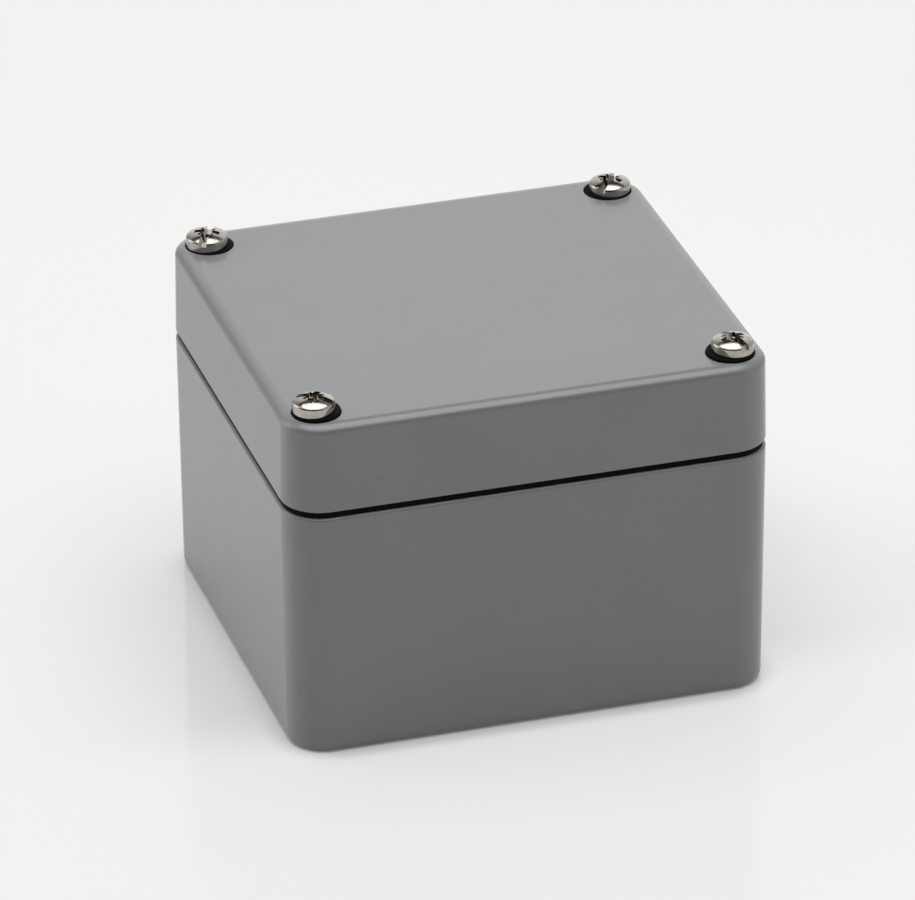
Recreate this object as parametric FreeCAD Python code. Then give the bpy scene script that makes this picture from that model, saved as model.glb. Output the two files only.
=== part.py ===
import FreeCAD, Part

import math
import os

# Small sealed die cast aluminium box, empty, with its lid on.
# A base casting carries a raised tongue, a lid casting carries a rubber gasket in a groove, and four
# captive screws in the corners, outside the seal, hold the two together. An earth terminal stands
# inside on the floor. Millimetres, +Z up, X along the longer side, origin under the middle of the base.

# Castings
width = 80.0
depth = 75.0
base_height = 42.0
lid_height = 14.9
rim_gap = 1.1
corner_radius = 6.5
base_draft = 0.5
lid_draft = 0.9
inner_draft = 0.5
lid_crown_radius = 3.5
lid_bevel_flat = 0.1
lid_bevel_tilt = 25.0
lid_shoulder_radius = 1.15
lid_rim_radius = 0.25
base_rim_radius = 0.5
foot_edge_radius = 1.3
floor_thickness = 3.0
roof_thickness = 3.0
floor_fillet = 1.5
roof_fillet = 1.0

# Seal: a tongue on the base presses into a gasket in the groove of the lid
seal_inset = 2.6
seal_corner_radius = 4.5
seal_notch_radius = 4.0
tongue_width = 1.2
tongue_height = 1.2
tongue_edge_radius = 0.3
tongue_ledge = 0.2
groove_width = 2.6
groove_depth = 3.2
groove_inner_wall = 1.3
gasket_side_clearance = 0.05
gasket_rim_clearance = 0.15
gasket_edge_radius = 0.3
well_to_seal_wall = 2.4

# Lid screws, M4, and what holds each one
thread_diameter = 4.0
thread_clearance = 0.05
screw_inset_x = 5.55
screw_inset_y = 6.0
screw_length = 22.0
head_diameter = 6.8
head_side_height = 1.5
head_dome_rise = 0.95
head_shoulder_radius = 0.45
slot_width = 1.3
slot_depth = 1.4
cross_span = 4.2
cross_wing_width = 0.9
cross_depth = 1.9
cross_taper = 0.55
tip_chamfer = 0.5
tapped_hole_runout = 2.0
drill_tip_slope = 30.0
recess_radius = 4.0
recess_depth = 1.2
recess_shift = 0.4
guide_hole_clearance = 0.3
washer_clearance = 0.1
washer_edge_radius = 0.3
retainer_thickness = 1.2
retainer_wall = 1.45
retainer_clearance = 0.3
retainer_travel = 6.4
slot_angles = {"front_left": -38.0, "front_right": -70.0, "back_left": 62.0, "back_right": 48.0}
washer_thickness = {"front_left": 1.7, "front_right": 1.7, "back_left": 1.4, "back_right": 1.1}

# Wall mounting holes beside the screws, outside the seal
mount_to_screw = 8.45
mount_hole_radius = 2.25
mount_well_radius = 3.9
mount_seat_thickness = 4.5

# Threaded bosses on the floor for a board or a plate
boss_spacing_x = 56.0
boss_spacing_y = 36.0
boss_radius = 3.9
boss_height = 4.0
boss_hole_radius = 1.65
boss_hole_depth = 5.0

# Earth terminal on the floor, at the back
earth_to_back = 9.7
earth_boss_radius = 4.6
earth_boss_height = 5.0
earth_screw_length = 6.0
earth_head_radius = 3.6
earth_plate_radius = 4.4
earth_plate_thickness = 1.0
spring_washer_radius = 3.4
spring_washer_thickness = 0.9
spring_washer_slit = 0.8
earth_hole_runout = 1.5

# Heights
lid_rim_z = base_height + rim_gap
lid_top_z = lid_rim_z + lid_height
roof_z = lid_top_z - roof_thickness
groove_top_z = lid_rim_z + groove_depth
tongue_top_z = base_height + tongue_height
gasket_bottom_z = base_height + gasket_rim_clearance
recess_floor_z = lid_top_z - recess_depth
screw_seats = {corner: recess_floor_z + thickness for corner, thickness in washer_thickness.items()}
tapped_floor_z = min(screw_seats.values()) - screw_length - tapped_hole_runout
retainer_z = lid_rim_z + retainer_clearance
pocket_top_z = retainer_z + retainer_thickness + retainer_travel + retainer_clearance
earth_boss_z = floor_thickness + earth_boss_height
earth_seat_z = earth_boss_z + earth_plate_thickness + spring_washer_thickness

# Places and widths
thread_radius = thread_diameter / 2
tapped_radius = thread_radius + thread_clearance
head_radius = head_diameter / 2
screw_x = width / 2 - screw_inset_x
screw_y = depth / 2 - screw_inset_y
recess_x = screw_x - recess_shift
guide_radius = thread_radius + guide_hole_clearance
retainer_radius = tapped_radius + retainer_wall
pocket_radius = retainer_radius + retainer_clearance
mount_x = screw_x - mount_to_screw
seal_x = width / 2 - seal_inset
seal_y = depth / 2 - seal_inset
notch_x = mount_x - mount_well_radius - well_to_seal_wall
notch_y = screw_y - mount_well_radius - well_to_seal_wall
tongue_half = tongue_width / 2
groove_half = groove_width / 2
gasket_half = groove_half - gasket_side_clearance
base_cavity_inset = tongue_half + tongue_ledge
lid_cavity_inset = groove_half + groove_inner_wall
earth_y = depth / 2 - earth_to_back
corner_signs = {"front_left": (-1, -1), "front_right": (1, -1), "back_left": (-1, 1), "back_right": (1, 1)}

# How far a cutting or joining solid runs past the face that it opens or joins
overrun = 1.0

UP = FreeCAD.Vector(0, 0, 1)


def slope(angle):
    """Sideways step for each millimetre of height at a draft angle."""
    return math.tan(math.radians(angle))


def rounded_wire(corners, z):
    """Closed flat wire at height z through corners (x, y, radius), each rounded by a tangent arc."""
    arcs = []
    for index, (x, y, radius) in enumerate(corners):
        point = FreeCAD.Vector(x, y, z)
        before = FreeCAD.Vector(*corners[index - 1][:2], z) - point
        after = FreeCAD.Vector(*corners[(index + 1) % len(corners)][:2], z) - point
        before.normalize()
        after.normalize()
        half_angle = before.getAngle(after) / 2
        reach = radius / math.tan(half_angle)
        inwards = before + after
        inwards.normalize()
        middle = point + inwards * (radius / math.sin(half_angle) - radius)
        arcs.append(Part.Arc(point + before * reach, middle, point + after * reach))
    edges = []
    for arc, following in zip(arcs, arcs[1:] + arcs[:1]):
        edges.append(arc.toShape())
        edges.append(Part.makeLine(arc.EndPoint, following.StartPoint))
    return Part.Wire(edges)


def between(low_corners, low_z, high_corners, high_z):
    """Solid between two like outlines, with flat and conical sides."""
    return Part.makeLoft([rounded_wire(low_corners, low_z), rounded_wire(high_corners, high_z)], True, True)


def rectangle(inset):
    """Outside of the box at the parting line, moved inwards by inset."""
    x, y, radius = width / 2 - inset, depth / 2 - inset, corner_radius - inset
    return [(x, y, radius), (-x, y, radius), (-x, -y, radius), (x, -y, radius)]


def seal_line(inset):
    """Line of the seal, which steps in past the screws at each corner, moved inwards by inset."""
    x, y = seal_x - inset, seal_y - inset
    step_x, step_y = notch_x - inset, notch_y - inset
    outer, inner = seal_corner_radius - inset, seal_notch_radius + inset
    corners = []
    for side_x, side_y in ((1, 1), (-1, 1), (-1, -1), (1, -1)):
        group = [(x, step_y, outer), (step_x, step_y, inner), (step_x, y, outer)]
        if side_x != side_y:
            group.reverse()
        corners += [(side_x * a, side_y * b, radius) for a, b, radius in group]
    return corners


def seal_ring(half_width, low_z, high_z):
    """Closed band along the seal line, of one width and height."""
    outside = between(seal_line(-half_width), low_z, seal_line(-half_width), high_z)
    inside = between(seal_line(half_width), low_z, seal_line(half_width), high_z)
    return outside.cut(inside)


def edges_at(shape, z):
    """Edges of a shape that lie flat at height z."""
    return [edge for edge in shape.Edges if all(abs(vertex.Z - z) < 1e-6 for vertex in edge.Vertexes)]


def rounded_at(shape, radius, z):
    """The shape with its flat edges at height z rounded."""
    return shape.makeFillet(radius, edges_at(shape, z))


def cylinder(x, y, radius, low_z, high_z):
    return Part.makeCylinder(radius, high_z - low_z, FreeCAD.Vector(x, y, low_z), UP)


def corners_of(x, y):
    """The four places at plus and minus x and y."""
    return [(side_x * x, side_y * y) for side_x, side_y in corner_signs.values()]


def blind_hole(x, y, radius, floor_z, mouth_z):
    """Drilled hole cutter with the cone that a drill leaves below its floor."""
    tip_height = radius * slope(drill_tip_slope)
    tip = Part.makeCone(0, radius, tip_height, FreeCAD.Vector(x, y, floor_z - tip_height), UP)
    return cylinder(x, y, radius, floor_z, mouth_z + overrun).fuse(tip)


def box_base():
    """Base casting: drafted walls, floor, corner blocks, tongue, bosses and holes."""
    foot_inset = base_height * slope(base_draft)
    shell = between(rectangle(foot_inset), 0, rectangle(0), base_height)
    shell = rounded_at(shell, foot_edge_radius, 0)
    shell = rounded_at(shell, base_rim_radius, base_height)

    taper = (base_height - floor_thickness) * slope(inner_draft)
    floor_line = seal_line(base_cavity_inset + taper)
    mouth_line = seal_line(base_cavity_inset - overrun * slope(inner_draft))
    cavity = between(floor_line, floor_thickness, mouth_line, base_height + overrun)
    shell = shell.cut(rounded_at(cavity, floor_fillet, floor_thickness))

    tongue = seal_ring(tongue_half, base_height - overrun, tongue_top_z)
    shell = shell.fuse(rounded_at(tongue, tongue_edge_radius, tongue_top_z))

    sunk_z = floor_thickness / 2
    boss_top_z = floor_thickness + boss_height
    for x, y in corners_of(boss_spacing_x / 2, boss_spacing_y / 2):
        shell = shell.fuse(cylinder(x, y, boss_radius, sunk_z, boss_top_z))
        shell = shell.cut(blind_hole(x, y, boss_hole_radius, boss_top_z - boss_hole_depth, boss_top_z))
    shell = shell.fuse(cylinder(0, earth_y, earth_boss_radius, sunk_z, earth_boss_z))
    earth_tip_z = earth_seat_z - earth_screw_length
    earth_bore = blind_hole(0, earth_y, tapped_radius, earth_tip_z - earth_hole_runout, earth_boss_z)
    shell = shell.cut(earth_bore)

    for x, y in corners_of(screw_x, screw_y):
        shell = shell.cut(blind_hole(x, y, tapped_radius, tapped_floor_z, base_height))
    for x, y in corners_of(mount_x, screw_y):
        shell = shell.cut(cylinder(x, y, mount_hole_radius, -overrun, base_height))
        shell = shell.cut(cylinder(x, y, mount_well_radius, mount_seat_thickness, base_height + overrun))
    return shell.removeSplitter()


def box_lid():
    """Lid casting: rounded top, recess, gasket groove and the stepped hole of each screw."""
    crown_reach = lid_crown_radius * slope(lid_bevel_tilt / 2)
    shoulder_reach = lid_shoulder_radius * slope((90 - lid_draft - lid_bevel_tilt) / 2)
    bevel_width = crown_reach + lid_bevel_flat + shoulder_reach
    bevel_drop = bevel_width * math.sin(math.radians(lid_bevel_tilt))
    bevel_reach = bevel_width * math.cos(math.radians(lid_bevel_tilt))
    bevel_z = lid_top_z - bevel_drop
    side_inset = (bevel_z - lid_rim_z) * slope(lid_draft)
    shell = between(rectangle(0), lid_rim_z, rectangle(side_inset), bevel_z)
    crown = between(rectangle(side_inset), bevel_z, rectangle(side_inset + bevel_reach), lid_top_z)
    shell = shell.fuse(crown)
    shell = rounded_at(shell, lid_crown_radius, lid_top_z)
    shell = rounded_at(shell, lid_shoulder_radius, bevel_z)
    shell = rounded_at(shell, lid_rim_radius, lid_rim_z)

    taper = (roof_z - lid_rim_z) * slope(inner_draft)
    mouth_line = seal_line(lid_cavity_inset - overrun * slope(inner_draft))
    roof_line = seal_line(lid_cavity_inset + taper)
    cavity = between(mouth_line, lid_rim_z - overrun, roof_line, roof_z)
    shell = shell.cut(rounded_at(cavity, roof_fillet, roof_z))
    shell = shell.cut(seal_ring(groove_half, lid_rim_z - overrun, groove_top_z))

    for side_x, side_y in corner_signs.values():
        x, y = side_x * screw_x, side_y * screw_y
        shell = shell.cut(cylinder(x, y, guide_radius, lid_rim_z, lid_top_z))
        shell = shell.cut(cylinder(x, y, pocket_radius, lid_rim_z - overrun, pocket_top_z))
        shell = shell.cut(cylinder(side_x * recess_x, y, recess_radius, recess_floor_z, lid_top_z + overrun))
    return shell.removeSplitter()


def lid_gasket():
    """Rubber cord in the lid's groove; its lips reach down on both sides of the tongue."""
    cord = rounded_at(seal_ring(gasket_half, gasket_bottom_z, groove_top_z), gasket_edge_radius, gasket_bottom_z)
    return cord.cut(seal_ring(tongue_half + gasket_side_clearance, gasket_bottom_z - overrun, tongue_top_z))


def wing(span, wing_width, top_z, turn):
    """One pair of wings of a cross recess, narrower at the bottom."""
    outlines = []
    for share, z in ((1.0, top_z), (cross_taper, top_z - cross_depth)):
        x, y = span * share / 2, wing_width / 2
        corners = [(x, y), (-x, y), (-x, -y), (x, -y), (x, y)]
        outlines.append(Part.makePolygon([FreeCAD.Vector(a, b, z) for a, b in corners]))
    pair = Part.makeLoft(outlines, True, True)
    pair.rotate(FreeCAD.Vector(0, 0, 0), UP, turn)
    return pair


def machine_screw(x, y, seat_z, radius, length, angle):
    """Screw with a raised cheese head, a slot across it and a cross recess, standing on seat_z."""
    rim_z = seat_z + head_side_height
    apex_z = rim_z + head_dome_rise
    dome_radius = (radius ** 2 + head_dome_rise ** 2) / (2 * head_dome_rise)
    dome = Part.makeSphere(dome_radius, FreeCAD.Vector(0, 0, apex_z - dome_radius))
    head = cylinder(0, 0, radius, seat_z, apex_z).common(dome)
    head = rounded_at(head, head_shoulder_radius, rim_z)

    tip_z = seat_z - length
    shank = cylinder(0, 0, thread_radius, tip_z, rim_z)
    screw = head.fuse(shank.makeChamfer(tip_chamfer, edges_at(shank, tip_z))).removeSplitter()

    slot_length = 2 * (radius + overrun)
    slot_corner = FreeCAD.Vector(-slot_length / 2, -slot_width / 2, apex_z - slot_depth)
    screw = screw.cut(Part.makeBox(slot_length, slot_width, slot_depth + overrun, slot_corner))
    for turn in (0, 90):
        screw = screw.cut(wing(cross_span, cross_wing_width, apex_z, turn))
    screw.rotate(FreeCAD.Vector(0, 0, 0), UP, angle)
    screw.translate(FreeCAD.Vector(x, y, 0))
    return screw


def ring(x, y, inner_radius, outer_radius, low_z, high_z):
    outside = cylinder(x, y, outer_radius, low_z, high_z)
    return outside.cut(cylinder(x, y, inner_radius, low_z - overrun, high_z + overrun))


def seal_washer(x, y, seat_z):
    """Rubber washer squeezed by a screw's head; its bore clears the screw, which stands off centre."""
    bore_radius = thread_radius + recess_shift + washer_clearance
    body = cylinder(x, y, recess_radius - washer_clearance, recess_floor_z, seat_z)
    body = rounded_at(body, washer_edge_radius, seat_z)
    return body.cut(cylinder(x, y, bore_radius, recess_floor_z - overrun, seat_z + overrun))


def spring_washer():
    """Split washer under the head of the earth screw."""
    low_z = earth_boss_z + earth_plate_thickness
    washer = ring(0, earth_y, tapped_radius, spring_washer_radius, low_z, earth_seat_z)
    slit_corner = FreeCAD.Vector(0, earth_y - spring_washer_slit / 2, low_z)
    return washer.cut(Part.makeBox(spring_washer_radius, spring_washer_slit, spring_washer_thickness, slit_corner))


pieces = {
    "box_base": box_base(),
    "box_lid": box_lid(),
    "lid_gasket": lid_gasket(),
    "earth_screw": machine_screw(0, earth_y, earth_seat_z, earth_head_radius, earth_screw_length, 0),
    "earth_clamp_plate": ring(0, earth_y, tapped_radius, earth_plate_radius, earth_boss_z,
                              earth_boss_z + earth_plate_thickness),
    "earth_spring_washer": spring_washer(),
}
for corner, (side_x, side_y) in corner_signs.items():
    x, y = side_x * screw_x, side_y * screw_y
    pieces["lid_screw_" + corner] = machine_screw(x, y, screw_seats[corner], head_radius, screw_length,
                                                  slot_angles[corner])
    pieces["screw_washer_" + corner] = seal_washer(side_x * recess_x, y, screw_seats[corner])
    pieces["screw_retainer_" + corner] = ring(x, y, tapped_radius, retainer_radius, retainer_z,
                                              retainer_z + retainer_thickness)

os.makedirs("parts", exist_ok=True)
for name, shape in pieces.items():
    solid = shape.Solids[0] if len(shape.Solids) == 1 else shape
    solid.exportStep("parts/" + name + ".step")
    print(name, len(shape.Solids), solid.isValid(), round(solid.Volume, 1))
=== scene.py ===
import math

import bpy
from mathutils import Matrix, Vector


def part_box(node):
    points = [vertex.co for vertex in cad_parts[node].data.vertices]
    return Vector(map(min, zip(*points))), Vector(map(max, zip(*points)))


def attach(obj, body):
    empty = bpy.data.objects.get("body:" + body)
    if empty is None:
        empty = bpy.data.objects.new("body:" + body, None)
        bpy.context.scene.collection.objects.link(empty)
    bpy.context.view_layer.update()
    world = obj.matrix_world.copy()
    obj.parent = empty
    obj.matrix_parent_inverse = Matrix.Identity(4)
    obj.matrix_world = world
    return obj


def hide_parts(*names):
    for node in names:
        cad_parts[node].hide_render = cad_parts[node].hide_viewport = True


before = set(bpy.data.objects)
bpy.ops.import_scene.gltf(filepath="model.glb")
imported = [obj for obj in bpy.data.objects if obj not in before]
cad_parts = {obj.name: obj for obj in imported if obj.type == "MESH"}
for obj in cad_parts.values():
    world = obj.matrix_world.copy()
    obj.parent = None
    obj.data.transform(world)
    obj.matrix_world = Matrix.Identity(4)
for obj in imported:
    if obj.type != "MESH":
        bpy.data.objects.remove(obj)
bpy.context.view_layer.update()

MM = 0.001

# Screws: M4, raised cheese head with a slot across it, four recess wings and four small ribs between them
HEAD_RADIUS = 3.4 * MM
HEAD_SIDE = 1.28 * MM
SHOULDER_RADIUS = 0.45 * MM
DOME_RADIUS = 7.3 * MM
SLOT_WIDTH = 1.3 * MM
SLOT_DEPTH = 1.4 * MM
WING_SPAN = 5.2 * MM
WING_WIDTH = 1.0 * MM
WING_DEPTH = 1.9 * MM
WING_TAPER = 0.55
RIB_SPAN = 4.8 * MM
RIB_WIDTH = 0.5 * MM
RIB_DEPTH = 0.9 * MM
THREAD_RADIUS = 2.0 * MM
THREAD_PITCH = 0.7 * MM
THREAD_DEPTH = 0.43 * MM
TIP_CHAMFER = 0.5 * MM
LID_SCREW_LENGTH = 22.0 * MM
EARTH_SCREW_LENGTH = 6.0 * MM
EARTH_HEAD_RADIUS = 3.6 * MM
SLOT_ANGLES = {"front_left": -38.0, "front_right": -70.0, "back_left": 62.0, "back_right": 48.0}

# Slope of the thread's flanks, and how far they are lowered, which leaves flat roots and crests
FLANK_SLOPE, FLANK_LOSS = 1.4, 0.15
# Share of the head's side that the shank reaches up, and how far the cutters stand above and beside the head
SHANK_IN_HEAD = 0.3
CUTTER_LIFT = 1.0 * MM
SLOT_LENGTH_IN_RADII = 3.0
# Points and rings of the screws' meshes, how the head's rings crowd at its rim, and where its top begins
HEAD_POINTS, SIDE_RINGS, TOP_RINGS, RIM_CROWDING, TOP_LEVEL = 96, 4, 28, 1.7, 0.999
SHANK_POINTS, RINGS_PER_TURN = 32, 8.0
# Bend in degrees from which an edge is shaded sharp
SHARP_EDGE = 35.0

# Space inside the box, a little less than up to its inner walls, floor and roof, and its soft edge
INSIDE_MIDDLE = (0.0, 0.0, 29.0 * MM)
INSIDE_REACH = (35.6 * MM, 33.1 * MM, 26.6 * MM)
INSIDE_EDGE = 0.2 * MM

# Black rubber band along the outer edge of the rims, put in the gap between lid and base so that the gap
# shows as a black line
BAND_CORNER = (40.0 * MM, 37.5 * MM, 6.5 * MM)
BAND_OUTSIDE, BAND_INSIDE = 0.42 * MM, 1.5 * MM
BAND_LOW, BAND_HIGH, BAND_CHAMFER = 42.03 * MM, 43.08 * MM, 0.1 * MM
BAND_STEP_DEGREES = 5

# Coat outside and inside the box, and where in a noise its specks begin, are full, and how strong they are
COAT_IOR, COAT_ROUGHNESS, INSIDE_ROUGHNESS = 1.6, 0.22, 0.5
SPECK_BEGINS, SPECK_FULL, SPECK_STRENGTH = 0.8, 0.86, 0.2
# Turned rings of the brass plate, about the earth screw's axis
RING_WIDTH = 0.2 * MM
EARTH_Y = 27.8 * MM

# Settings that several nodes share, and the spread within which a noise mostly stays
COLOUR = {"data_type": "RGBA"}
SOFT = {"interpolation_type": "SMOOTHSTEP"}
NOISE_LOW, NOISE_HIGH = 0.3, 0.7


def linear(code):
    """An sRGB hex colour as linear red, green, blue and alpha."""
    parts = [int(code[i:i + 2], 16) / 255 for i in (1, 3, 5)]
    return [p / 12.92 if p <= 0.04045 else ((p + 0.055) / 1.055) ** 2.4 for p in parts] + [1.0]


def fill(tree, node, inputs):
    """Fills inputs, by name or in order; a sum is written such as ("ADD", 1.0, ("SINE", angle))."""
    for name, value in inputs.items() if isinstance(inputs, dict) else enumerate(inputs):
        if isinstance(value, tuple) and isinstance(value[0], str):
            value = add(tree, "ShaderNodeMath", {"operation": value[0]}, value[1:])[0]
        if isinstance(value, bpy.types.NodeSocket):
            tree.links.new(value, node.inputs[name])
        else:
            node.inputs[name].default_value = value


def add(tree, kind, settings, inputs):
    """Adds a node with its settings and its inputs filled, and gives its outputs."""
    node = tree.nodes.new(kind)
    for name, value in settings.items():
        setattr(node, name, value)
    fill(tree, node, inputs)
    return node.outputs


def spots(tree, size, detail):
    """A share that wanders about a half, in spots of this size that stay on the piece."""
    place = add(tree, "ShaderNodeTexCoord", {}, {})["Object"]
    return add(tree, "ShaderNodeTexNoise", {}, {"Vector": place, "Scale": 1 / size, "Detail": detail})[0]


def spread(tree, share, low, high):
    """A number or a hex colour that runs from low to high as a noise goes through its usual spread."""
    coloured = isinstance(low, str)
    ends = (0.0, 1.0) if coloured else (low, high)
    share = add(tree, "ShaderNodeMapRange", {},
                {"Value": share, "From Min": NOISE_LOW, "From Max": NOISE_HIGH,
                 "To Min": ends[0], "To Max": ends[1]})[0]
    if not coloured:
        return share
    return add(tree, "ShaderNodeMix", COLOUR, {0: share, 6: linear(low), 7: linear(high)})[2]


def mottled(tree, size, detail, low, high):
    """A number or a hex colour that wanders between two, in spots of this size."""
    return spread(tree, spots(tree, size, detail), low, high)


def grained(tree, size, detail, strength, depth):
    """A surface direction that dips in and out, in grains of this size."""
    height = spots(tree, size, detail)
    dips = add(tree, "ShaderNodeBump", {}, {"Height": height, "Strength": strength, "Distance": depth})
    return dips["Normal"]


def finish(name, look):
    """A material whose shader gets the inputs that look(tree) works out."""
    made = bpy.data.materials.new(name)
    made.use_nodes = True
    fill(made.node_tree, made.node_tree.nodes["Principled BSDF"], look(made.node_tree))
    return made


def powder_coat(tree):
    """Powder coat, half gloss: faint clouds, 1 mm orange peel, a rare speck; thin and dull inside the box."""
    grey = mottled(tree, size=17.0 * MM, detail=3.0, low="#7B7C7C", high="#7E7F7F")
    speck = add(tree, "ShaderNodeMapRange", {},
                {"Value": spots(tree, size=0.7 * MM, detail=0.0),
                 "From Min": SPECK_BEGINS, "From Max": SPECK_FULL, "To Max": SPECK_STRENGTH})[0]
    grey = add(tree, "ShaderNodeMix", COLOUR, {0: speck, 6: grey, 7: linear("#5E5F60")})[2]
    # Inside: nearer the middle than the inner walls, above the floor and below the roof
    place = add(tree, "ShaderNodeTexCoord", {}, {})["Object"]
    off = add(tree, "ShaderNodeVectorMath", {"operation": "SUBTRACT"}, (place, INSIDE_MIDDLE))[0]
    off = add(tree, "ShaderNodeVectorMath", {"operation": "ABSOLUTE"}, (off,))[0]
    room = add(tree, "ShaderNodeVectorMath", {"operation": "SUBTRACT"}, (INSIDE_REACH, off))[0]
    room_x, room_y, room_z = add(tree, "ShaderNodeSeparateXYZ", {}, (room,))
    least = ("MINIMUM", ("MINIMUM", room_x, room_y), room_z)
    inside = add(tree, "ShaderNodeMapRange", {},
                 {"Value": least, "From Min": 0.0, "From Max": INSIDE_EDGE})[0]
    thin = mottled(tree, size=5.5 * MM, detail=4.0, low="#7F7F7F", high="#898988")
    dull = add(tree, "ShaderNodeMapRange", {},
               {"Value": inside, "To Min": COAT_ROUGHNESS, "To Max": INSIDE_ROUGHNESS})[0]
    return {"Base Color": add(tree, "ShaderNodeMix", COLOUR, {0: inside, 6: grey, 7: thin})[2],
            "Roughness": dull,
            "IOR": COAT_IOR,
            "Normal": grained(tree, size=1.1 * MM, detail=2.0, strength=0.25, depth=0.05 * MM)}


def rubber(tree):
    """Dull black moulded rubber with a faint bloom; its grain is drawn coarser than real, to show."""
    return {"Base Color": mottled(tree, size=3.3 * MM, detail=3.0, low="#070707", high="#0B0B0B"),
            "Roughness": 0.7,
            "Specular IOR Level": 0.08,
            "Normal": grained(tree, size=0.25 * MM, detail=2.0, strength=0.2, depth=0.03 * MM)}


def steel(tree):
    """Bright cold headed steel: the eye gets uneven gloss and small dents from the punch."""
    return {"Metallic": 1.0,
            "Base Color": mottled(tree, size=1.43 * MM, detail=3.0, low="#A39D95", high="#B9B5AF"),
            "Roughness": mottled(tree, size=0.77 * MM, detail=2.0, low=0.11, high=0.2),
            "Normal": grained(tree, size=0.588 * MM, detail=2.0, strength=0.3, depth=0.03 * MM)}


def nylon(tree):
    """Moulded natural nylon, milky: soft edges to its shadows, faint flow lines and a satin skin."""
    return {"Base Color": mottled(tree, size=4.0 * MM, detail=3.0, low="#DDD7C6", high="#E9E5D8"),
            "Roughness": mottled(tree, size=1.1 * MM, detail=2.0, low=0.34, high=0.46),
            "Subsurface Weight": 0.25,
            "Subsurface Radius": (1.0, 0.9, 0.7),
            "Subsurface Scale": 0.8 * MM,
            "Normal": grained(tree, size=0.4 * MM, detail=2.0, strength=0.15, depth=0.02 * MM)}


def brass(tree):
    """Turned brass, a little browned; its rings are drawn coarser than real, so that they show."""
    place = add(tree, "ShaderNodeTexCoord", {}, {})["Object"]
    x, y, z = add(tree, "ShaderNodeSeparateXYZ", {}, (place,))
    across = add(tree, "ShaderNodeCombineXYZ", {}, (x, ("SUBTRACT", y, EARTH_Y)))[0]
    radius = add(tree, "ShaderNodeVectorMath", {"operation": "LENGTH"}, (across,))["Value"]
    along = add(tree, "ShaderNodeCombineXYZ", {}, {0: radius, 2: z})[0]
    rings = add(tree, "ShaderNodeTexNoise", {}, {"Vector": along, "Scale": 1 / RING_WIDTH, "Detail": 2.0})[0]
    groove = add(tree, "ShaderNodeBump", {}, {"Height": rings, "Strength": 0.25, "Distance": 0.01 * MM})
    return {"Metallic": 1.0,
            "Base Color": mottled(tree, size=2.9 * MM, detail=3.0, low="#C9A25C", high="#DDBB76"),
            "Roughness": spread(tree, rings, low=0.2, high=0.34),
            "Normal": groove["Normal"]}


coat = finish("silver_grey_powder_coat", powder_coat)
black_rubber = finish("black_moulded_rubber", rubber)
bright_steel = finish("bright_cold_headed_steel", steel)
white_nylon = finish("natural_nylon", nylon)
turned_brass = finish("turned_brass", brass)

SCREW_SIZES = {
    "Head Radius": HEAD_RADIUS, "Head Side": HEAD_SIDE, "Shoulder Radius": SHOULDER_RADIUS,
    "Dome Radius": DOME_RADIUS, "Slot Width": SLOT_WIDTH, "Slot Depth": SLOT_DEPTH,
    "Wing Span": WING_SPAN, "Wing Width": WING_WIDTH, "Wing Depth": WING_DEPTH, "Wing Taper": WING_TAPER,
    "Rib Span": RIB_SPAN, "Rib Width": RIB_WIDTH, "Rib Depth": RIB_DEPTH,
    "Thread Radius": THREAD_RADIUS, "Thread Pitch": THREAD_PITCH, "Thread Depth": THREAD_DEPTH,
    "Tip Chamfer": TIP_CHAMFER, "Length": LID_SCREW_LENGTH,
}


def arc(middle, bend, off):
    """Height of an arc of this bend radius about this middle height, this far off its axis."""
    square = ("SUBTRACT", ("MULTIPLY", bend, bend), ("MULTIPLY", off, off))
    return ("ADD", middle, ("SQRT", ("MAXIMUM", square, 0.0)))


def chosen(share, first, second):
    """The first where share is 1, the second where it is 0."""
    return ("ADD", ("MULTIPLY", first, share), ("MULTIPLY", second, ("SUBTRACT", 1.0, share)))


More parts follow.
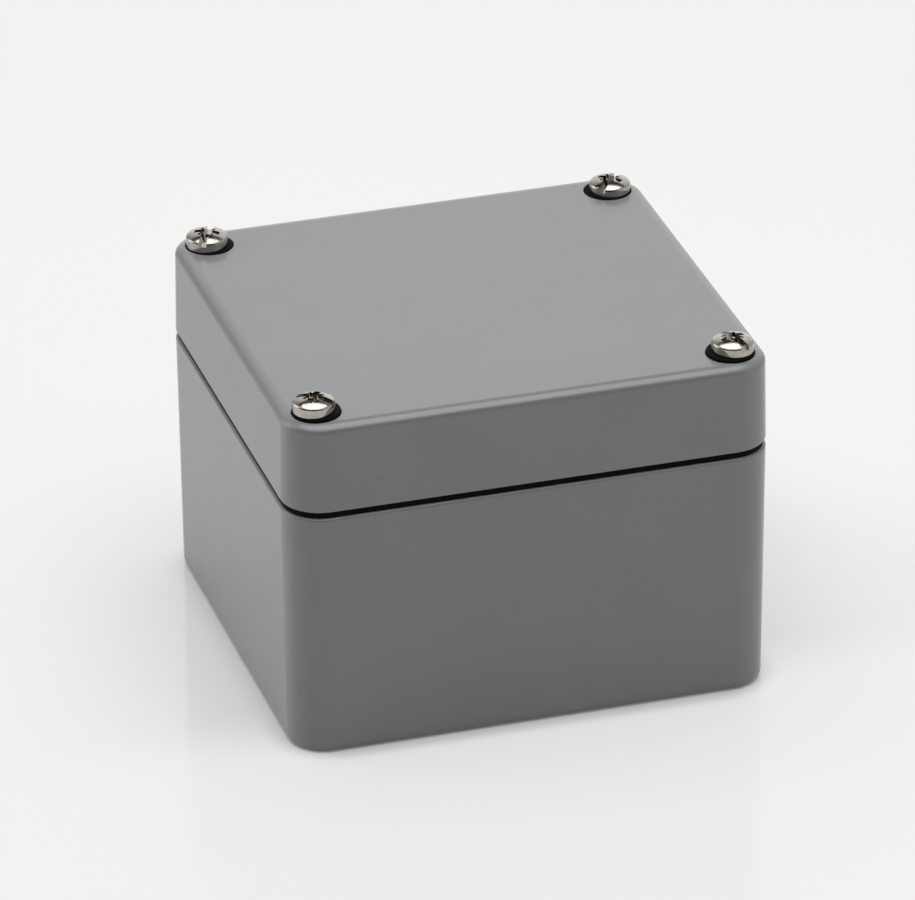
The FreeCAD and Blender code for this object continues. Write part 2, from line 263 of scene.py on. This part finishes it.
def screw_tree():
    """Tree that makes one screw, its seat at the origin and its tip down."""
    tree = bpy.data.node_groups.new("machine_screw", "GeometryNodeTree")
    for name, value in SCREW_SIZES.items():
        tree.interface.new_socket(name, in_out="INPUT", socket_type="NodeSocketFloat").default_value = value
    tree.interface.new_socket("Finish", in_out="INPUT", socket_type="NodeSocketMaterial")
    tree.interface.new_socket("Geometry", in_out="OUTPUT", socket_type="NodeSocketGeometry")
    size = add(tree, "NodeGroupInput", {}, {})

    # Where each point is: its share of the unit radius, its height and its direction about the screw's axis
    place = add(tree, "GeometryNodeInputPosition", {}, {})[0]
    x, y, level = add(tree, "ShaderNodeSeparateXYZ", {}, (place,))
    share = ("SQRT", ("ADD", ("MULTIPLY", x, x), ("MULTIPLY", y, y)))
    angle = ("ARCTAN2", y, x)
    upright = ("ADD", level, 0.5)

    def placed(mesh, radius, height):
        """The mesh with its points put at this radius and height, each in its own direction."""
        to_x, to_y = ("MULTIPLY", radius, ("COSINE", angle)), ("MULTIPLY", radius, ("SINE", angle))
        to = add(tree, "ShaderNodeCombineXYZ", {}, (to_x, to_y, height))[0]
        return add(tree, "GeometryNodeSetPosition", {}, {"Geometry": mesh, "Position": to})[0]

    # Head: a drum whose rings are drawn together at the rim and lifted to the dome and its shoulder
    drum = add(tree, "GeometryNodeMeshCylinder", {"fill_type": "TRIANGLE_FAN"},
               {"Vertices": HEAD_POINTS, "Side Segments": SIDE_RINGS, "Fill Segments": TOP_RINGS,
                "Radius": 1.0, "Depth": 1.0})["Mesh"]
    rim_share = ("SUBTRACT", 1.0, ("POWER", ("MAXIMUM", ("SUBTRACT", 1.0, share), 0.0), RIM_CROWDING))
    radius = ("MULTIPLY", rim_share, size["Head Radius"])
    inner = ("SUBTRACT", size["Head Radius"], size["Shoulder Radius"])
    reach = ("SUBTRACT", size["Dome Radius"], size["Shoulder Radius"])
    drop = ("SQRT", ("SUBTRACT", ("MULTIPLY", reach, reach), ("MULTIPLY", inner, inner)))
    dome_middle = ("SUBTRACT", size["Head Side"], drop)
    dome = arc(dome_middle, size["Dome Radius"], radius)
    shoulder = arc(size["Head Side"], size["Shoulder Radius"], ("SUBTRACT", radius, inner))
    meet = ("DIVIDE", ("MULTIPLY", inner, size["Dome Radius"]), reach)
    top = chosen(("GREATER_THAN", radius, meet), shoulder, dome)
    side = ("MULTIPLY", upright, size["Head Side"])
    head = placed(drum, radius, chosen(("GREATER_THAN", upright, TOP_LEVEL), top, side))
    apex = ("ADD", dome_middle, size["Dome Radius"])

    def cutter(span, width, depth, taper, turn):
        """Box that cuts down from the top of the head, its ends drawn in towards the bottom."""
        tall = ("ADD", depth, CUTTER_LIFT)
        block = add(tree, "GeometryNodeMeshCube", {},
                    {"Size": add(tree, "ShaderNodeCombineXYZ", {}, (span, width, tall))[0]})["Mesh"]
        pull = ("SUBTRACT", 1.0, ("MULTIPLY", ("LESS_THAN", level, 0.0), ("SUBTRACT", 1.0, taper)))
        to = add(tree, "ShaderNodeCombineXYZ", {}, (("MULTIPLY", x, pull), y, level))[0]
        block = add(tree, "GeometryNodeSetPosition", {}, {"Geometry": block, "Position": to})[0]
        middle = ("ADD", ("SUBTRACT", apex, depth), ("MULTIPLY", tall, 0.5))
        at = add(tree, "ShaderNodeCombineXYZ", {}, {2: middle})[0]
        return add(tree, "GeometryNodeTransform", {},
                   {"Geometry": block, "Translation": at, "Rotation": (0, 0, math.radians(turn))})[0]

    slot_length = ("MULTIPLY", size["Head Radius"], SLOT_LENGTH_IN_RADII)
    cuts = [cutter(slot_length, size["Slot Width"], size["Slot Depth"], 1.0, 0)]
    for kind, first_turn in (("Wing", 0), ("Rib", 45)):
        span, width, depth = (size[kind + part] for part in (" Span", " Width", " Depth"))
        for turn in (first_turn, first_turn + 90):
            cuts.append(cutter(span, width, depth, size["Wing Taper"], turn))
    for cut in cuts:
        head = add(tree, "GeometryNodeMeshBoolean", {"operation": "DIFFERENCE", "solver": "EXACT"},
                   {"Mesh 1": head, "Mesh 2": cut})["Mesh"]

    # Shank: a rod whose radius follows the winding line of the thread
    rod_length = ("ADD", size["Length"], ("MULTIPLY", size["Head Side"], SHANK_IN_HEAD))
    rings = ("MULTIPLY", ("DIVIDE", rod_length, size["Thread Pitch"]), RINGS_PER_TURN)
    rod = add(tree, "GeometryNodeMeshCylinder", {},
              {"Vertices": SHANK_POINTS, "Side Segments": ("ROUND", rings),
               "Radius": 1.0, "Depth": 1.0})["Mesh"]
    height = ("SUBTRACT", ("MULTIPLY", upright, rod_length), size["Length"])
    turns = ("ADD", ("DIVIDE", height, size["Thread Pitch"]), ("DIVIDE", angle, -2 * math.pi))
    flank = ("ABSOLUTE", ("SUBTRACT", ("MULTIPLY", ("FRACT", turns), 2.0), 1.0))
    crest = ("SUBTRACT", ("MULTIPLY", flank, FLANK_SLOPE), FLANK_LOSS)
    crest = ("MINIMUM", ("MAXIMUM", crest, 0.0), 1.0)
    cut_in = ("MULTIPLY", ("SUBTRACT", 1.0, crest), size["Thread Depth"])
    thread = ("SUBTRACT", size["Thread Radius"], cut_in)
    from_tip = ("ADD", height, size["Length"])
    tip = ("ADD", ("SUBTRACT", size["Thread Radius"], size["Tip Chamfer"]), from_tip)
    shank = placed(rod, ("MULTIPLY", share, ("MINIMUM", thread, tip)), height)

    whole = add(tree, "GeometryNodeJoinGeometry", {}, (head,))[0]
    tree.links.new(shank, whole.node.inputs[0])
    smooth = add(tree, "GeometryNodeSetShadeSmooth", {}, {"Geometry": whole, "Shade Smooth": True})[0]
    real = add(tree, "GeometryNodeRealizeInstances", {}, (smooth,))[0]
    painted = add(tree, "GeometryNodeSetMaterial", {}, {"Geometry": real, "Material": size["Finish"]})[0]
    add(tree, "NodeGroupOutput", {}, (painted,))
    return tree


def grown(name, tree, values):
    """The mesh that a tree makes with these inputs, as an object without the tree."""
    seed = bpy.data.objects.new(name, bpy.data.meshes.new(name))
    bpy.context.scene.collection.objects.link(seed)
    worker = seed.modifiers.new("grow", "NODES")
    worker.node_group = tree
    for item in tree.interface.items_tree:
        if item.item_type == "SOCKET" and item.in_out == "INPUT" and item.name in values:
            worker[item.identifier] = values[item.name]
    bpy.context.view_layer.update()
    made = bpy.data.meshes.new_from_object(seed.evaluated_get(bpy.context.evaluated_depsgraph_get()))
    seed.modifiers.remove(worker)
    seed.data = made
    made.name = name
    made.set_sharp_from_angle(angle=math.radians(SHARP_EDGE))
    return seed


def screw(name, node, body, tree, values, angle):
    """A screw grown in the place of its CAD node."""
    low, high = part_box(node)
    made = grown(name, tree, values)
    seat = Vector(((low.x + high.x) / 2, (low.y + high.y) / 2, low.z + values["Length"]))
    made.data.transform(Matrix.Translation(seat) @ Matrix.Rotation(math.radians(angle), 4, "Z"))
    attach(made, body)
    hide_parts(node)


machine_screw = screw_tree()
lid_values = {**SCREW_SIZES, "Finish": bright_steel}
earth_values = {**lid_values, "Head Radius": EARTH_HEAD_RADIUS, "Length": EARTH_SCREW_LENGTH}
for corner, angle in SLOT_ANGLES.items():
    screw("lid_screw_threaded_" + corner, "lid_screw_" + corner, "screw_" + corner,
          machine_screw, lid_values, angle)
screw("earth_screw_threaded", "earth_screw", "earth_screw", machine_screw, earth_values, 0.0)

# Finish of each CAD node, by how its name starts
FINISHES = {"box_": coat, "lid_gasket": black_rubber, "screw_washer": black_rubber,
            "screw_retainer": white_nylon, "earth_clamp_plate": turned_brass,
            "earth_spring_washer": bright_steel}
for name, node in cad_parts.items():
    for start, material in FINISHES.items():
        if name.startswith(start):
            node.data.materials.clear()
            node.data.materials.append(material)


def gap_band():
    """Closed black band along the rims, a rounded rectangle in plan and a chamfered bar in section."""
    reach_x, reach_y, radius = BAND_CORNER
    section = [(BAND_OUTSIDE + BAND_CHAMFER, BAND_LOW), (BAND_OUTSIDE, BAND_LOW + BAND_CHAMFER),
               (BAND_OUTSIDE, BAND_HIGH - BAND_CHAMFER), (BAND_OUTSIDE + BAND_CHAMFER, BAND_HIGH),
               (BAND_INSIDE, BAND_HIGH), (BAND_INSIDE, BAND_LOW)]
    points = []
    for turn in range(0, 360, BAND_STEP_DEGREES):
        # A quarter turn ends one corner and starts the next, so it gives two rings of points
        for back in ((0,) if turn % 90 else (-1, 0)):
            quarter = (turn + back) // 90
            side_x, side_y = (1, -1, -1, 1)[quarter % 4], (1, 1, -1, -1)[quarter % 4]
            for inset, height in section:
                bend = radius - inset
                points.append((side_x * (reach_x - radius) + bend * math.cos(math.radians(turn)),
                               side_y * (reach_y - radius) + bend * math.sin(math.radians(turn)), height))
    count, rings = len(section), len(points) // len(section)
    faces = [(r * count + c, (r + 1) % rings * count + c,
              (r + 1) % rings * count + (c + 1) % count, r * count + (c + 1) % count)
             for r in range(rings) for c in range(count)]
    mesh = bpy.data.meshes.new("black_gap_band")
    mesh.from_pydata(points, [], faces)
    mesh.materials.append(black_rubber)
    band = bpy.data.objects.new("black_gap_band", mesh)
    bpy.context.scene.collection.objects.link(band)
    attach(band, "lid")


gap_band()

# Camera, from the fit of the box's edges to the photograph; the focal length is in pixels
YAW, PITCH, ROLL = math.radians(-16.7432), math.radians(27.2265), math.radians(-0.452)
FOCAL, IMAGE_WIDTH, SENSOR = 7708.0997, 915, 36.0
SHIFT_RIGHT, SHIFT_UP, DISTANCE = 1.5678 * MM, -2.2398 * MM, 1250.8856 * MM
AIM_HEIGHT = 28 * MM
CLIP_NEAR, CLIP_FAR = 0.05, 20.0
back = Vector((math.sin(YAW) * math.cos(PITCH), -math.cos(YAW) * math.cos(PITCH), math.sin(PITCH)))
right = (-back).cross(Vector((0, 0, 1))).normalized()
up = right.cross(-back)
across = math.cos(ROLL) * right + math.sin(ROLL) * up
upward = math.cos(ROLL) * up - math.sin(ROLL) * right
camera = bpy.data.objects.new("camera", bpy.data.cameras.new("camera"))
bpy.context.scene.collection.objects.link(camera)
camera.data.sensor_width = SENSOR
camera.data.lens = FOCAL * SENSOR / IMAGE_WIDTH
camera.data.clip_start, camera.data.clip_end = CLIP_NEAR, CLIP_FAR
spot = Vector((0, 0, AIM_HEIGHT)) + back * DISTANCE - across * SHIFT_RIGHT - upward * SHIFT_UP
camera.matrix_world = Matrix.Translation(spot) @ Matrix((across, upward, back)).transposed().to_4x4()
bpy.context.scene.camera = camera

# Floor: a wide pale sheet just under the box
FLOOR_REACH = 4.0
FLOOR_Z = -0.04 * MM
# Foot of the box in plan, less its corner radius
FOOT_REACH, FOOT_CORNER = (31.6 * MM, 29.1 * MM), 7.0 * MM
# Painted light that the floor gives off by itself, for the eye and in reflections: how much beside the foot,
# clear of it and in front, with soft edges between them
NEAR_PAINTED_LIGHT, SIDE_PAINTED_LIGHT, FRONT_PAINTED_LIGHT = 0.11, 0.27, 0.65
CLEAR_FIRST, CLEAR_LAST = 1.0 * MM, 5.0 * MM
FRONT_FIRST, FRONT_LAST = -20.0 * MM, -38.0 * MM


def board(tree):
    """Glossy white sheet, very slightly uneven in tone."""
    return {"Base Color": mottled(tree, size=110.0 * MM, detail=2.0, low="#E9E8E6", high="#EAE9E7"),
            "Roughness": 0.1}


def paint_floor_light(tree):
    """Gives the sheet painted light of its own, seen by the eye and in reflections, little beside the foot
    and most in front, so that its shadows stay faint.
    """
    place = add(tree, "ShaderNodeTexCoord", {}, {})["Object"]
    x, y, _ = add(tree, "ShaderNodeSeparateXYZ", {}, (place,))
    clamped = {"operation": "SUBTRACT", "use_clamp": True}
    over_x, over_y = (add(tree, "ShaderNodeMath", clamped, (("ABSOLUTE", part), reach))[0]
                      for part, reach in zip((x, y), FOOT_REACH))
    gap = add(tree, "ShaderNodeCombineXYZ", {}, (over_x, over_y))[0]
    gap = add(tree, "ShaderNodeVectorMath", {"operation": "LENGTH"}, (gap,))["Value"]
    edges = ((gap, FOOT_CORNER + CLEAR_FIRST, FOOT_CORNER + CLEAR_LAST), (y, FRONT_FIRST, FRONT_LAST))
    clear, front = (add(tree, "ShaderNodeMapRange", SOFT,
                        {"Value": value, "From Min": first, "From Max": last})[0]
                    for value, first, last in edges)
    far = add(tree, "ShaderNodeMapRange", {},
              {"Value": front, "To Min": SIDE_PAINTED_LIGHT, "To Max": FRONT_PAINTED_LIGHT})[0]
    painted_light = add(tree, "ShaderNodeMapRange", {},
                   {"Value": clear, "To Min": NEAR_PAINTED_LIGHT, "To Max": far})[0]
    ray = add(tree, "ShaderNodeLightPath", {}, {})
    seen = ("MAXIMUM", ("MAXIMUM", ray["Is Camera Ray"], ray["Is Glossy Ray"]), ray["Is Transmission Ray"])
    lit = tree.nodes["Principled BSDF"].outputs[0]
    # Painted light: a pale glow mixed over the lit sheet for the eye and reflections, by the shares worked
    # out above
    pale = add(tree, "ShaderNodeEmission", {}, {"Color": linear("#F3F2F0"), "Strength": 1.0})[0]
    both = add(tree, "ShaderNodeMixShader", {}, (("MULTIPLY", seen, painted_light), lit, pale))[0]
    fill(tree, tree.nodes["Material Output"], {"Surface": both})


floor_mesh = bpy.data.meshes.new("floor")
corners = [(FLOOR_REACH * x, FLOOR_REACH * y, FLOOR_Z) for x, y in ((-1, -1), (1, -1), (1, 1), (-1, 1))]
floor_mesh.from_pydata(corners, [], [(0, 1, 2, 3)])
floor = bpy.data.objects.new("floor", floor_mesh)
bpy.context.scene.collection.objects.link(floor)
pale_board_and_painted_light = finish("pale_board_and_painted_light", board)
paint_floor_light(pale_board_and_painted_light.node_tree)
floor_mesh.materials.append(pale_board_and_painted_light)

# Light: three flat lamps overhead, in a dark room with pale cards around the box and a dim ceiling in front
VIEW_BACK, VIEW_RIGHT = Vector((0.288, 0.958, 0.0)), Vector((0.958, -0.288, 0.0))
LAMP_HEIGHT = 1.0


def overhead(name, back_edge, front_edge, width, radiance):
    """Rectangular lamp above the box; its edges are measured along the floor, away from the camera."""
    data = bpy.data.lights.new(name, "AREA")
    data.shape, data.size, data.size_y = "RECTANGLE", width, back_edge - front_edge
    data.energy = math.pi * radiance * data.size * data.size_y
    lamp = bpy.data.objects.new(name, data)
    bpy.context.scene.collection.objects.link(lamp)
    lamp.location = VIEW_BACK * (back_edge + front_edge) / 2 + Vector((0, 0, LAMP_HEIGHT))
    lamp.rotation_euler = (0, 0, YAW)


# The main lamp, a wider one that softens its sides, and a dimmer one towards the camera
overhead("overhead", 0.53, -0.4, 0.9, 2.7)
overhead("overhead_wide", 0.4, -0.4, 1.8, 0.8)
overhead("overhead_front", -0.4, -0.8, 0.9, 1.12)

# Cards: first and last azimuth from straight behind the box, in radians to the right, and brightness
CARDS = [(-0.4, 0.5, 1.12), (-1.0, -0.4, 0.36), (-1.6, -1.0, 1.88), (-1.95, -1.6, 0.4), (0.5, 2.4, 0.56)]
CARD_SOFTNESS = 0.25
# Soft edges, in directions of length 1: the height of the cards' top and the ceiling's foot, and its back
CARD_TOP = (0.66, 0.74)
CEILING_FOOT = (0.62, 0.76)
CEILING_BACK = (-0.05, 0.05)
CEILING_BRIGHTNESS = 0.35


def room_light(tree):
    """How bright the room is in each direction."""
    way = add(tree, "ShaderNodeTexCoord", {}, {})["Generated"]
    height = add(tree, "ShaderNodeSeparateXYZ", {}, (way,))[2]
    away, aside = (add(tree, "ShaderNodeVectorMath", {"operation": "DOT_PRODUCT"}, (way, axis))["Value"]
                   for axis in (VIEW_BACK, VIEW_RIGHT))
    azimuth = add(tree, "ShaderNodeMath", {"operation": "ARCTAN2"}, (aside, away))[0]
    cards = 0.0
    for first, last, brightness in CARDS:
        begun, ended = (add(tree, "ShaderNodeMapRange", SOFT,
                            {"Value": azimuth, "From Min": edge - CARD_SOFTNESS,
                             "From Max": edge + CARD_SOFTNESS})[0]
                        for edge in (first, last))
        card = ("MULTIPLY", begun, ("SUBTRACT", 1.0, ended))
        cards = ("ADD", cards, ("MULTIPLY", card, brightness))
    over_cards, in_ceiling, behind = (
        add(tree, "ShaderNodeMapRange", SOFT, {"Value": value, "From Min": first, "From Max": last})[0]
        for value, (first, last) in ((height, CARD_TOP), (height, CEILING_FOOT), (away, CEILING_BACK)))
    cards = ("MULTIPLY", cards, ("SUBTRACT", 1.0, over_cards))
    ceiling = ("MULTIPLY", in_ceiling, ("SUBTRACT", 1.0, behind))
    return ("ADD", cards, ("MULTIPLY", ceiling, CEILING_BRIGHTNESS))


world = bpy.data.worlds.new("room")
world.use_nodes = True
bpy.context.scene.world = world
fill(world.node_tree, world.node_tree.nodes["Background"],
     {"Color": (1, 1, 1, 1), "Strength": room_light(world.node_tree)})

bpy.context.scene.view_settings.view_transform = "Standard"
